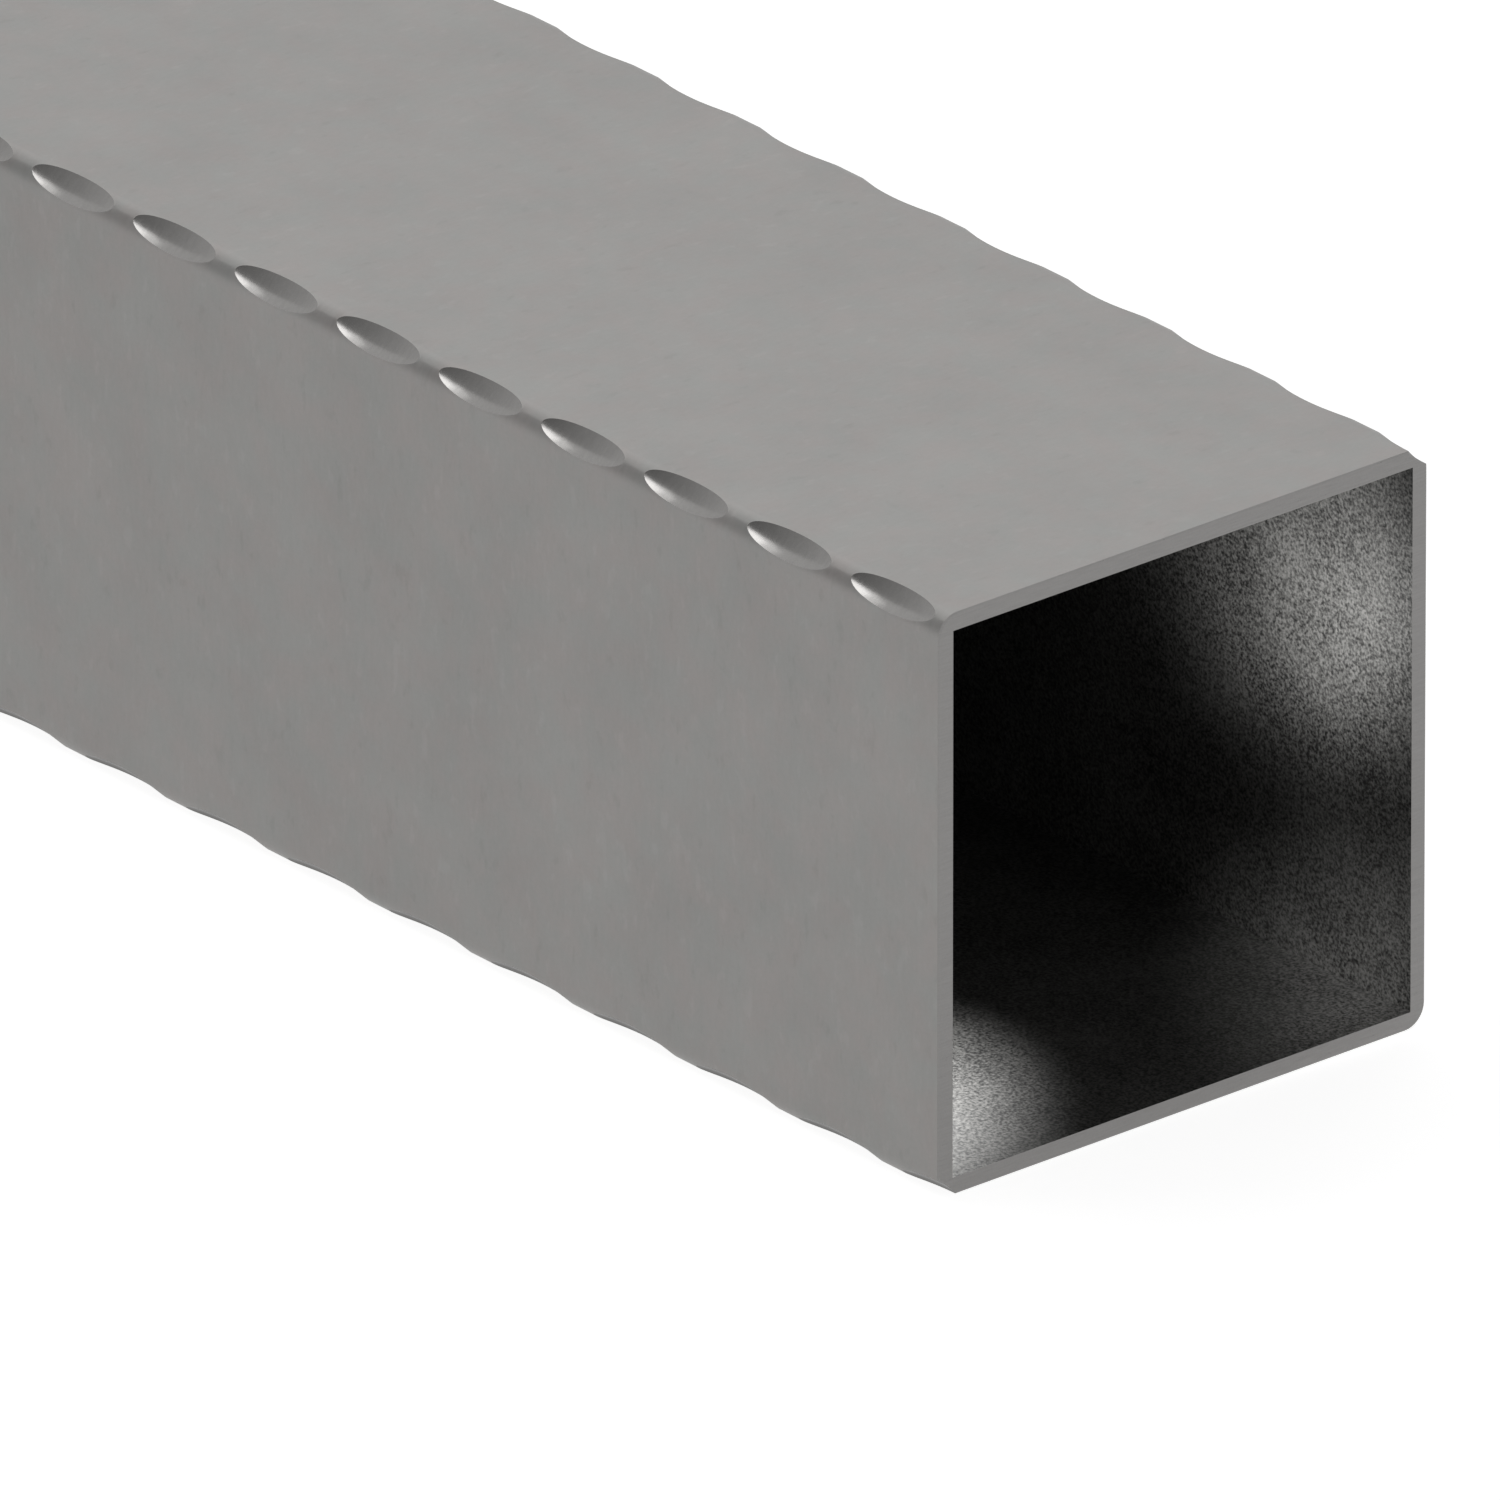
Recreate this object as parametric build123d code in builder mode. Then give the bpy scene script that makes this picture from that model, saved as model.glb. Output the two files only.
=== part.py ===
# Square steel tube with hammered corners: one 500 mm length of 100 mm by 100 mm by 3 mm stock.
# The frame is in millimetres: +X along the tube towards its near cut end, +Y to the right of
# that end, +Z up, and the origin under the middle of the tube on its resting face.
import math
import os

from build123d import *

os.makedirs("parts", exist_ok=True)

# Driving sizes of the tube
tube_length = 500.0
tube_side = 100.0
wall = 3.0
corner_radius = 3.9

# Driving sizes of the hammered dents along the four corners
dent_pitch = 25.0
dent_length = 19.8
dent_depth = 1.06

# Each dent is struck by the flat rim of a wheel, which rolls in over the dent's length
wheel_radius = (dent_length**2 / 4 + dent_depth**2) / (2 * dent_depth)
wheel_width = 2 * corner_radius

# The wheel's middle stands outside the corner, on its diagonal
crown_below_sharp_corner = corner_radius * (math.sqrt(2) - 1)
wheel_outside_corner = wheel_radius - crown_below_sharp_corner - dent_depth
wheel_step = wheel_outside_corner / math.sqrt(2)
left = -tube_side / 2 - wheel_step
right = tube_side / 2 + wheel_step
below = -wheel_step
above = tube_side + wheel_step

# Along two opposite corners a dent sits on the cut, along the other two half a pitch away
dent_count = round(tube_length / dent_pitch)
cut_end = tube_length / 2
whole_steps = [cut_end - step * dent_pitch for step in range(dent_count + 1)]
half_steps = [cut_end - (step + 0.5) * dent_pitch for step in range(dent_count)]

# The wheel stands upright in the tube's direction
with BuildPart() as wheel:
    with BuildSketch(Plane.XZ.offset(-wheel_width / 2)) as rim:
        Circle(wheel_radius)
    extrude(amount=wheel_width)

with BuildPart() as square_tube:
    # Hollow square section with rounded outer and sharp inner corners
    with BuildSketch(Plane.YZ.offset(-tube_length / 2)) as section:
        with Locations((0, tube_side / 2)):
            RectangleRounded(tube_side, tube_side, corner_radius)
            Rectangle(tube_side - 2 * wall, tube_side - 2 * wall, mode=Mode.SUBTRACT)
    extrude(amount=tube_length)
    # Hammered dents, staggered from corner to corner
    with Locations(
        *[Location((x, left, above), (45, 0, 0)) for x in half_steps],
        *[Location((x, right, below), (45, 0, 0)) for x in half_steps],
        *[Location((x, right, above), (-45, 0, 0)) for x in whole_steps],
        *[Location((x, left, below), (-45, 0, 0)) for x in whole_steps],
    ):
        add(wheel.part, mode=Mode.SUBTRACT)

square_tube.part.label = "square_tube"
export_step(square_tube.part, "parts/square_tube.step")
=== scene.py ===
import math

import bmesh
import bpy
from mathutils import Matrix, Vector


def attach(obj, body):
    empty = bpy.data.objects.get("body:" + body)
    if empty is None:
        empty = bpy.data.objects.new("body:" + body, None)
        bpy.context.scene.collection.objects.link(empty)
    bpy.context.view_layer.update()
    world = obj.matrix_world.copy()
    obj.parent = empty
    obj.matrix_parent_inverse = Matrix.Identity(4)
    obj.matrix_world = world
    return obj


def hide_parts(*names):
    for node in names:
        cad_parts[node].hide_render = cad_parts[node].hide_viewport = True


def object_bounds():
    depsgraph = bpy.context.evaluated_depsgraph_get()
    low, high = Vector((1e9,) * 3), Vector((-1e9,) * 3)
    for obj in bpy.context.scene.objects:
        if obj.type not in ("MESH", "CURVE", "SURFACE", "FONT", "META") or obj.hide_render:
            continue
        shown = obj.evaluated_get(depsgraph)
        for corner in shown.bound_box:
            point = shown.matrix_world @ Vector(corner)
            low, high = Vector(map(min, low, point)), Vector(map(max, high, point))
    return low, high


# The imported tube: it lies along x on the floor, with its near cut end at the high x
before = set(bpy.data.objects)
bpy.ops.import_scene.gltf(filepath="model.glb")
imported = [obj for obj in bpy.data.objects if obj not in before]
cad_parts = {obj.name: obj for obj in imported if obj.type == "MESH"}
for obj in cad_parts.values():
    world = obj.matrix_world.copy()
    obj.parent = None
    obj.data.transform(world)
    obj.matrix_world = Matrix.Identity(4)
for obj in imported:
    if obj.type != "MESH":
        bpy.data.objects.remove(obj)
cad_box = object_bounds()
low, high = cad_box

mm = 0.001

# Section of the tube
side = high.y - low.y
length = high.x - low.x
wall = 3 * mm
corner_radius = 3.9 * mm
eased_edge = 0.22 * mm

# Hammered dents
pitch = 25 * mm
dent_length = 19.8 * mm
dent_half_width = 2.45 * mm
dent_hollow_across = 13 * mm
dent_lean = math.radians(3.4)
dents_per_side = round(length / pitch)

# How finely the rounded corner and its dents are divided
steps_to_dent_middle = 12
steps_between_dents = 4
steps_per_pitch = 2 * steps_to_dent_middle + steps_between_dents
steps_along = dents_per_side * steps_per_pitch
rows_of_round = 4
rows_of_dent = 8
rows_per_corner = 2 * rows_of_round + rows_of_dent
rows_of_flat = 3
first_rim_row = rows_of_round
last_rim_row = rows_of_round + rows_of_dent
narrowest_band = math.radians(2)
half_corner = math.pi / 4
halvings = 40
weld_distance = 0.001 * mm
cut_tolerance = 0.01 * mm
sharp_angle = math.radians(30)

# Half the side of a flat square sheet, before it is shaped
half_sheet = 0.5

# Where the rounded corner and the dent lie, measured outward from the middle of the rounding
dent_floor = math.sqrt(corner_radius**2 - dent_half_width**2)
dent_floor -= dent_half_width**2 / (2 * dent_hollow_across)
wheel_radius = (dent_length / 2) ** 2 / (2 * (corner_radius - dent_floor))

# The four finishes, in the order of the tube's material slots
rolled, pressed, sawn, inside = range(4)


def round_height(across):
    return math.sqrt(corner_radius**2 - across**2)


def dent_height(along, across):
    return dent_floor + along**2 / (2 * wheel_radius) + across**2 / (2 * dent_hollow_across)


def dent_reach(along):
    """Half the dent's width where its rim meets the rounded corner."""
    near = 0.0
    far = corner_radius * math.sin(half_corner)
    for _ in range(halvings):
        middle = (near + far) / 2
        if dent_height(along, middle) < round_height(middle):
            near = middle
        else:
            far = middle
    return near


def stations():
    """Places along one pitch, closer together at the dent's tips, and whether each is in the dent."""
    half_steps = steps_between_dents // 2
    half_gap = pitch / 2 - dent_length / 2
    places = []
    for step in range(half_steps):
        places.append((-pitch / 2 + half_gap * step / half_steps, False))
    for step in range(-steps_to_dent_middle, steps_to_dent_middle + 1):
        turn = math.pi / 2 * step / steps_to_dent_middle
        places.append((dent_length / 2 * math.sin(turn), True))
    for step in range(1, half_steps):
        places.append((dent_length / 2 + half_gap * step / half_steps, False))
    return places


pitch_stations = stations()
# The four corners, in turn round the section, and whether a dent is sawn through at the cut ends
corners = [
    {"out": (-1, 1), "from": (-1, 0), "dent_on_cut": False},
    {"out": (1, 1), "from": (0, 1), "dent_on_cut": True},
    {"out": (1, -1), "from": (1, 0), "dent_on_cut": False},
    {"out": (-1, -1), "from": (0, -1), "dent_on_cut": True},
]


def station(column, corner):
    """The place along the tube of a column of points, and its place and state in its own dent."""
    shift = steps_per_pitch // 2 if corner["dent_on_cut"] else 0
    cell, step = divmod(column + shift, steps_per_pitch)
    offset, in_dent = pitch_stations[step]
    first_middle = low.x if corner["dent_on_cut"] else low.x + pitch / 2
    return first_middle + cell * pitch + offset, offset, in_dent


def row_angle(row, rim, lean):
    """The turn round the corner of a row of points: rounding, dent and rounding again."""
    if row < first_rim_row:
        return -half_corner + (lean - rim + half_corner) * row / rows_of_round
    if row > last_rim_row:
        return lean + rim + (half_corner - lean - rim) * (row - last_rim_row) / rows_of_round
    return lean - rim + 2 * rim * (row - first_rim_row) / rows_of_dent


def corner_point(column, row, corner):
    """A point of the rounded corner, pressed in where the dent is."""
    x, offset, in_dent = station(column, corner)
    reach = dent_reach(abs(offset)) if in_dent else 0.0
    rim = max(math.asin(reach / corner_radius), narrowest_band)
    out = Vector(corner["out"])
    start = Vector(corner["from"])
    # Each dent leans a little towards the top or the underside
    lean = dent_lean if start.x else -dent_lean
    across = corner_radius * math.sin(row_angle(row, rim, lean) - lean)
    height = round_height(across)
    if in_dent and first_rim_row < row < last_rim_row:
        height = min(height, dent_height(abs(offset), across))
    middle = out * (side / 2 - corner_radius) + Vector((0, side / 2))
    outward = out.normalized()
    sideways = (out - start - start).normalized()
    leaning_out = outward * math.cos(lean) + sideways * math.sin(lean)
    leaning_side = sideways * math.cos(lean) - outward * math.sin(lean)
    place = middle + leaning_out * height + leaning_side * across
    return Vector((x, place.x, place.y))


def rolled_tube():
    """A sheet rolled round the section, with the dents pressed into its corners."""
    mesh = bmesh.new()
    rows_per_turn = rows_per_corner + rows_of_flat
    rows_round = rows_per_turn * len(corners)
    bmesh.ops.create_grid(mesh, x_segments=steps_along, y_segments=rows_round, size=half_sheet)
    grid = {}
    for vert in mesh.verts:
        column = round((vert.co.x + half_sheet) * steps_along)
        row = round((vert.co.y + half_sheet) * rows_round)
        grid[vert] = (column, row)
    for vert, (column, row) in grid.items():
        turn, step = divmod(row % rows_round, rows_per_turn)
        corner = corners[turn]
        if step <= rows_per_corner:
            vert.co = corner_point(column, step, corner)
        else:
            following = corners[(turn + 1) % len(corners)]
            last = corner_point(column, rows_per_corner, corner)
            first = corner_point(column, 0, following)
            vert.co = last.lerp(first, (step - rows_per_corner) / rows_of_flat)
    for face in mesh.faces:
        columns = [grid[vert][0] for vert in face.verts]
        rows = [grid[vert][1] for vert in face.verts]
        turn, step = divmod(min(rows), rows_per_turn)
        dents = [station(column, corners[turn % len(corners)])[2] for column in columns]
        in_dent = first_rim_row <= step < last_rim_row and all(dents)
        face.material_index = pressed if in_dent else rolled
        face.smooth = True
    # The dents' rims stay crisp
    for edge in mesh.edges:
        (column, row), (other_column, other_row) = [grid[vert] for vert in edge.verts]
        turn, step = divmod(row, rows_per_turn)
        if row == other_row and step in (first_rim_row, last_rim_row):
            corner = corners[turn % len(corners)]
            if station(column, corner)[2] and station(other_column, corner)[2]:
                edge.smooth = False
    bmesh.ops.remove_doubles(mesh, verts=mesh.verts, dist=weld_distance)
    # The sheet ends short of the cut by the eased edge
    for vert in mesh.verts:
        if abs(vert.co.x) > length / 2 - cut_tolerance:
            vert.co.x = math.copysign(length / 2 - eased_edge, vert.co.x)
    return mesh


def open_rims(mesh, end):
    """The loose edges at one end of the tube: end is 1 at the near cut and -1 at the far one."""
    return [edge for edge in mesh.edges if edge.is_boundary and edge.verts[0].co.x * end > 0]


def ease_ends(mesh, middle):
    """A small slope from the outside to each cut."""
    shrink = (side - 2 * eased_edge) / side
    for end in (-1, 1):
        made = bmesh.ops.extrude_edge_only(mesh, edges=open_rims(mesh, end))
        moved = [item for item in made["geom"] if isinstance(item, bmesh.types.BMVert)]
        for face in {face for vert in moved for face in vert.link_faces}:
            face.material_index = sawn
            face.smooth = True
        bmesh.ops.scale(mesh, vec=(1, shrink, shrink), space=Matrix.Translation(-middle), verts=moved)
        bmesh.ops.translate(mesh, vec=(end * eased_edge, 0, 0), verts=moved)


def open_bore(mesh, middle):
    """The square inside, as a box without its two ends, turned to face inward."""
    inner = side - 2 * wall
    size = Matrix.Diagonal((length, inner, inner, 1))
    made = bmesh.ops.create_cube(mesh, size=1, matrix=Matrix.Translation(middle) @ size)
    # Each face once, in the order of the corners
    box = list(dict.fromkeys(face for vert in made["verts"] for face in vert.link_faces))
    caps = [face for face in box if round(face.normal.x)]
    walls = [face for face in box if face not in caps]
    bmesh.ops.delete(mesh, geom=caps, context="FACES_ONLY")
    bmesh.ops.reverse_faces(mesh, faces=walls)
    for face in walls:
        face.material_index = inside


def fill_cuts(mesh):
    """The flat sawn ends, between the outside and the bore."""
    for end in (-1, 1):
        made = bmesh.ops.triangle_fill(
            mesh, edges=open_rims(mesh, end), use_beauty=True, use_dissolve=False, normal=(end, 0, 0)
        )
        for face in [item for item in made["geom"] if isinstance(item, bmesh.types.BMFace)]:
            face.material_index = sawn
            if face.normal.x * end < 0:
                face.normal_flip()


def sharpen_cuts(mesh):
    """Crisp edges round the cuts and along the bore."""
    for edge in mesh.edges:
        if len(edge.link_faces) == 2:
            finishes = {face.material_index for face in edge.link_faces}
            if finishes & {sawn, inside}:
                edge.smooth = edge.calc_face_angle() < sharp_angle


def finish_mesh(mesh, name):
    """A finished mesh as a piece of the scene."""
    data = bpy.data.meshes.new(name)
    mesh.to_mesh(data)
    mesh.free()
    piece = bpy.data.objects.new(name, data)
    bpy.context.scene.collection.objects.link(piece)
    return piece


section_middle = Vector((0, 0, side / 2))
tube_mesh = rolled_tube()
ease_ends(tube_mesh, section_middle)
open_bore(tube_mesh, section_middle)
fill_cuts(tube_mesh)
sharpen_cuts(tube_mesh)
bmesh.ops.recalc_face_normals(tube_mesh, faces=tube_mesh.faces)
hammered_tube = finish_mesh(tube_mesh, "hammered_tube")


# Materials
def node(tree, kind, settings=None, **inputs):
    """A shader node with its settings, and its sockets set or linked by name."""
    made = tree.nodes.new("ShaderNode" + kind)
    for name, value in (settings or {}).items():
        setattr(made, name, value)
    for name, value in inputs.items():
        connect(tree, value, made.inputs[name.replace("_", " ")])
    return made


def connect(tree, value, socket):
    """A socket gets a link from another socket, or a plain value."""
    if isinstance(value, bpy.types.NodeSocket):
        tree.links.new(value, socket)
    else:
        socket.default_value = value


def speckle(tree, scale=1, detail=2, stretch=(1, 1, 1)):
    """Noise on the tube's own coordinates, in features per metre, stretched along an axis."""
    place = node(tree, "TexCoord").outputs["Object"]
    turned = node(tree, "Mapping", Vector=place, Scale=stretch).outputs[0]
    pattern = node(tree, "TexNoise", Vector=turned, Scale=scale, Detail=detail, Roughness=0.55)
    return pattern.outputs["Fac"]


def weigh(tree, parts):
    """The sum of patterns, each by its own weight."""
    total = 0
    for pattern, weight in parts:
        share = node(tree, "Math", {"operation": "MULTIPLY_ADD"})
        for value, socket in zip((pattern, weight, total), share.inputs):
            connect(tree, value, socket)
        total = share.outputs[0]
    return total


def spread(tree, value, least, most, start=0.0, end=1.0):
    """A value taken from one range, start to end, to another, least to most."""
    made = node(
        tree, "MapRange", Value=value, From_Min=start, From_Max=end, To_Min=least, To_Max=most
    )
    return made.outputs[0]


def tone(tree, value, dark, light):
    """A colour between two, by a value from 0 to 1."""
    made = node(tree, "Mix", {"data_type": "RGBA"})
    # A mix keeps its sockets for colours after those for plain values and vectors
    factor, first_colour, second_colour = made.inputs[0], made.inputs[6], made.inputs[7]
    connect(tree, value, factor)
    connect(tree, dark, first_colour)
    connect(tree, light, second_colour)
    return made.outputs[2]


def shade(colour, share):
    """A colour made darker or lighter, as a shader's four values."""
    return (*(channel * share for channel in colour), 1)


def new_material(name, metallic):
    made = bpy.data.materials.new(name)
    made.use_nodes = True
    shader = made.node_tree.nodes["Principled BSDF"]
    shader.inputs["Metallic"].default_value = metallic
    return made, made.node_tree, shader


def relief(tree, shader, height, depth):
    """Fine relief of a depth in metres, for what is too small to model."""
    bump = node(tree, "Bump", Height=height, Distance=depth, Strength=1.0)
    tree.links.new(bump.outputs[0], shader.inputs["Normal"])


def rolled_steel():
    """Dull grey rolled steel: clouds, faint streaks, small marks, warm and cool patches."""
    made, tree, shader = new_material("rolled_steel", metallic=1.0)
    clouds = speckle(tree, scale=40, detail=6)
    streaks = speckle(tree, detail=3, stretch=(1000, 320, 320))
    grain = speckle(tree, scale=1500)
    patches = speckle(tree, scale=150)
    marks = speckle(tree, detail=3, stretch=(400, 190, 190))
    dark_marks = spread(tree, marks, 0, 1, start=0.62, end=0.72)
    light_marks = spread(tree, marks, 1, 0, start=0.3, end=0.4)
    mixed = weigh(tree, [
        (clouds, 0.6), (streaks, 0.22), (grain, 0.18), (dark_marks, -0.15), (light_marks, 0.13),
    ])
    warm = (0.262, 0.25, 0.243)
    cool = (0.2535, 0.253, 0.246)
    darkest = 0.73
    lightest = 1.27
    drift = spread(tree, patches, 0, 1, start=0.35, end=0.65)
    dark = tone(tree, drift, shade(warm, darkest), shade(cool, darkest))
    light = tone(tree, drift, shade(warm, lightest), shade(cool, lightest))
    connect(tree, tone(tree, mixed, dark, light), shader.inputs["Base Color"])
    connect(tree, spread(tree, mixed, 0.36, 0.54), shader.inputs["Roughness"])
    relief(tree, shader, weigh(tree, [(streaks, 0.5), (grain, 0.5)]), depth=0.006 * mm)
    return made


def pressed_steel():
    """The dents: burnished by the hammer, with faint marks across."""
    made, tree, shader = new_material("pressed_steel", metallic=1.0)
    marks = speckle(tree, detail=3, stretch=(1500, 500, 500))
    grain = speckle(tree, scale=2600)
    mixed = weigh(tree, [(marks, 0.6), (grain, 0.4)])
    steel = (0.264, 0.2585, 0.2525)
    colour = tone(tree, mixed, shade(steel, 0.85), shade(steel, 1.15))
    connect(tree, colour, shader.inputs["Base Color"])
    connect(tree, spread(tree, mixed, 0.12, 0.18), shader.inputs["Roughness"])
    shader.inputs["Specular Tint"].default_value = (0.45, 0.45, 0.45, 1)
    relief(tree, shader, mixed, depth=0.003 * mm)
    return made


def sawn_steel():
    """The cut ends: fine saw lines across."""
    made, tree, shader = new_material("sawn_steel", metallic=1.0)
    lines = speckle(tree, detail=3, stretch=(400, 220, 3200))
    grain = speckle(tree, scale=2600)
    mixed = weigh(tree, [(lines, 0.65), (grain, 0.35)])
    steel = (0.22, 0.2155, 0.211)
    colour = tone(tree, mixed, shade(steel, 0.8), shade(steel, 1.2))
    connect(tree, colour, shader.inputs["Base Color"])
    connect(tree, spread(tree, mixed, 0.24, 0.34), shader.inputs["Roughness"])
    relief(tree, shader, mixed, depth=0.006 * mm)
    return made


def bore_steel():
    """The inside: dry and grainy, as rolled; dark mill scale, darkened further as painted shade deep
    in the tube.
    """
    made, tree, shader = new_material("bore_steel", metallic=0.3)
    grain = speckle(tree, scale=1900, detail=3)
    clouds = speckle(tree, scale=60, detail=3)
    mixed = weigh(tree, [(grain, 0.8), (clouds, 0.2)])
    sharp = spread(tree, mixed, 0, 1, start=0.37, end=0.65)
    # Dark mill scale, made darker still: partly the scale's own colour, partly painted shade for the
    # inside of the tube
    steel = (0.0465, 0.046, 0.0442)
    colour = tone(tree, sharp, shade(steel, 0.15), shade(steel, 2.0))
    connect(tree, colour, shader.inputs["Base Color"])
    connect(tree, spread(tree, mixed, 0.42, 0.62), shader.inputs["Roughness"])
    shader.inputs["Specular IOR Level"].default_value = 0.2
    relief(tree, shader, grain, depth=0.02 * mm)
    return made


for material in (rolled_steel(), pressed_steel(), sawn_steel(), bore_steel()):
    hammered_tube.data.materials.append(material)

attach(hammered_tube, "root")
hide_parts("square_tube")

pure_white = (1, 1, 1, 1)
pure_black = (0, 0, 0, 1)


# White surroundings for what the camera and the metal see
def seen_directly(tree):
    """1 for camera, glossy and transmission rays, 0 for the rest."""
    path = node(tree, "LightPath")
    total = path.outputs["Is Camera Ray"]
    for ray in ("Is Glossy Ray", "Is Transmission Ray"):
        either = node(tree, "Math", {"operation": "ADD", "use_clamp": True})
        connect(tree, total, either.inputs[0])
        connect(tree, path.outputs[ray], either.inputs[1])
        total = either.outputs[0]
    return total


def studio_world():
    """White where it is seen, and a soft light from all round."""
    world = bpy.data.worlds.new("studio")
    world.use_nodes = True
    tree = world.node_tree
    white = tree.nodes["Background"]
    white.inputs["Color"].default_value = pure_white
    white.inputs["Strength"].default_value = 1.0
    soft = node(tree, "Background", Color=pure_white, Strength=0.3)
    blend = node(tree, "MixShader")
    for source, socket in zip((seen_directly(tree), soft.outputs[0], white.outputs[0]), blend.inputs):
        connect(tree, source, socket)
    connect(tree, blend.outputs[0], tree.nodes["World Output"].inputs["Surface"])
    return world


def matt_paint(name, colour):
    """A paint without shine, with a white glow whose strength is set apart."""
    made, tree, shader = new_material(name, metallic=0.0)
    shader.inputs["Base Color"].default_value = colour
    shader.inputs["Roughness"].default_value = 1.0
    shader.inputs["Specular IOR Level"].default_value = 0.0
    shader.inputs["Emission Color"].default_value = pure_white
    return made, tree, shader


bpy.context.scene.world = studio_world()

# Floor
floor_reach = 40
floor_grey = 0.6
floor_glow = 0.84
floor_mesh = bmesh.new()
bmesh.ops.create_grid(floor_mesh, x_segments=1, y_segments=1, size=floor_reach)
floor = finish_mesh(floor_mesh, "floor")
floor_paint, tree, shader = matt_paint("white_floor", (floor_grey, floor_grey, floor_grey, 1))
glow = weigh(tree, [(seen_directly(tree), floor_glow)])
connect(tree, glow, shader.inputs["Emission Strength"])
floor.data.materials.append(floor_paint)


# Lights
def toward(azimuth, elevation):
    """A direction from the tube: azimuth 0 is to its left, 90 to its far end, -90 to its near end."""
    turn = math.radians(azimuth)
    lift = math.radians(elevation)
    return Vector((-math.sin(turn) * math.cos(lift), -math.cos(turn) * math.cos(lift), math.sin(lift)))


def facing(place, target):
    """The turn that points a lamp or a card at a place toward its target."""
    return (Vector(target) - Vector(place)).to_track_quat("-Z", "Y")


def hang_lamp(data, place, target):
    """A lamp at a place, facing a target and not seen by the camera."""
    lamp = bpy.data.objects.new(data.name, data)
    bpy.context.scene.collection.objects.link(lamp)
    lamp.location = place
    lamp.rotation_mode = "QUATERNION"
    lamp.rotation_quaternion = facing(place, target)
    lamp.visible_camera = False
    return lamp


def softbox(name, place, target, width, depth, brightness):
    """A soft panel, its brightness in watts for each square metre."""
    data = bpy.data.lights.new(name, "AREA")
    data.shape = "RECTANGLE"
    data.size = width
    data.size_y = depth
    data.energy = brightness * width * depth
    hang_lamp(data, place, target)


def snoot(name, target, place, spot_angle, lamp_radius, power):
    """A narrow soft lamp for one place inside the opening, which lights the tube alone."""
    data = bpy.data.lights.new(name, "SPOT")
    data.energy = power
    data.spot_size = math.radians(spot_angle)
    data.spot_blend = 1.0
    data.shadow_soft_size = lamp_radius
    lamp = hang_lamp(data, place, target)
    lamp.light_linking.receiver_collection = tube_alone


# The middle of the stretch that the picture shows
shown_middle = Vector((0.1, 0, side / 2))
panel_distance = 4
overhead = shown_middle + toward(44.1, 60.2) * panel_distance
overhead_strip = shown_middle + toward(51.6, 56.4) * panel_distance
back_panel = shown_middle + toward(127, 48) * panel_distance
softbox("overhead", overhead, shown_middle, width=1.2, depth=0.75, brightness=5.6)
softbox("overhead_strip", overhead_strip, shown_middle, width=1.7, depth=0.88, brightness=2.72)
softbox("back_panel", back_panel, shown_middle, width=3.4, depth=2.4, brightness=1.92)

# The lamps for the inside, in metres: two hang in the tube, and one is a metre before its opening
tube_alone = bpy.data.collections.new("tube_alone")
tube_alone.objects.link(hammered_tube)
upper_wall = (0.2287, 0.047, 0.0697)
just_inside = (0.2381, 0.0066, 0.0597)
lower_wall = (0.2354, 0.0489, 0.003)
before_opening = Vector(lower_wall) + toward(-51.8, 31.1)
left_floor = (0.212, -0.0505, 0.003)
under_top = (0.1987, 0.0044, 0.08)
snoot("wall_snoot", upper_wall, just_inside, spot_angle=91.3, lamp_radius=0.0119, power=0.372)
snoot("corner_snoot", lower_wall, before_opening, spot_angle=2.7, lamp_radius=0.0149, power=108)
snoot("floor_snoot", left_floor, under_top, spot_angle=51.5, lamp_radius=0.0104, power=3.18)


# Dark card at the left, seen by the metal alone, darker towards the near end
def card(name, place, target, roll, width, depth, far_shade, near_shade):
    mesh = bmesh.new()
    mesh.loops.layers.uv.new("across")
    turned = facing(place, target).to_matrix().to_4x4() @ Matrix.Rotation(math.radians(roll), 4, "Z")
    bmesh.ops.create_grid(
        mesh, x_segments=1, y_segments=1, size=half_sheet, calc_uvs=True,
        matrix=Matrix.Translation(place) @ turned @ Matrix.Diagonal((width, depth, 1, 1)),
    )
    piece = finish_mesh(mesh, name)
    paint, tree, shader = matt_paint(name, pure_black)
    across = node(tree, "UVMap", {"uv_map": "across"}).outputs[0]
    along = node(tree, "SeparateXYZ", Vector=across).outputs["X"]
    connect(tree, spread(tree, along, far_shade, near_shade), shader.inputs["Emission Strength"])
    piece.data.materials.append(paint)
    piece.visible_camera = False
    piece.visible_diffuse = False
    piece.visible_shadow = False


card_distance = 3
beside_tube = shown_middle + toward(44.5, 24.3) * card_distance
card(
    "dark_card", beside_tube, shown_middle, roll=34, width=4.52, depth=2.88,
    far_shade=1.13, near_shade=0.04,
)

# Camera at the photograph's angle
camera_turn = 49.897
camera_lift = 25.021
camera_distance = 10.692
across_picture = 29.29 * mm
above_picture = 20.38 * mm
back = toward(-camera_turn, camera_lift)
right = Vector((math.cos(math.radians(camera_turn)), math.sin(math.radians(camera_turn)), 0))
up = back.cross(right)
near_corner = Vector((high.x, low.y, high.z))
camera_data = bpy.data.cameras.new("camera")
camera_data.lens = 1652.5
camera_data.sensor_width = 36
camera_data.clip_start = 1
camera_data.clip_end = 200
camera = bpy.data.objects.new("camera", camera_data)
bpy.context.scene.collection.objects.link(camera)
camera.location = near_corner + back * camera_distance - right * across_picture - up * above_picture
camera.rotation_mode = "QUATERNION"
camera.rotation_quaternion = Matrix((right, up, back)).transposed().to_quaternion()
bpy.context.scene.camera = camera

bpy.context.scene.view_settings.view_transform = "Standard"
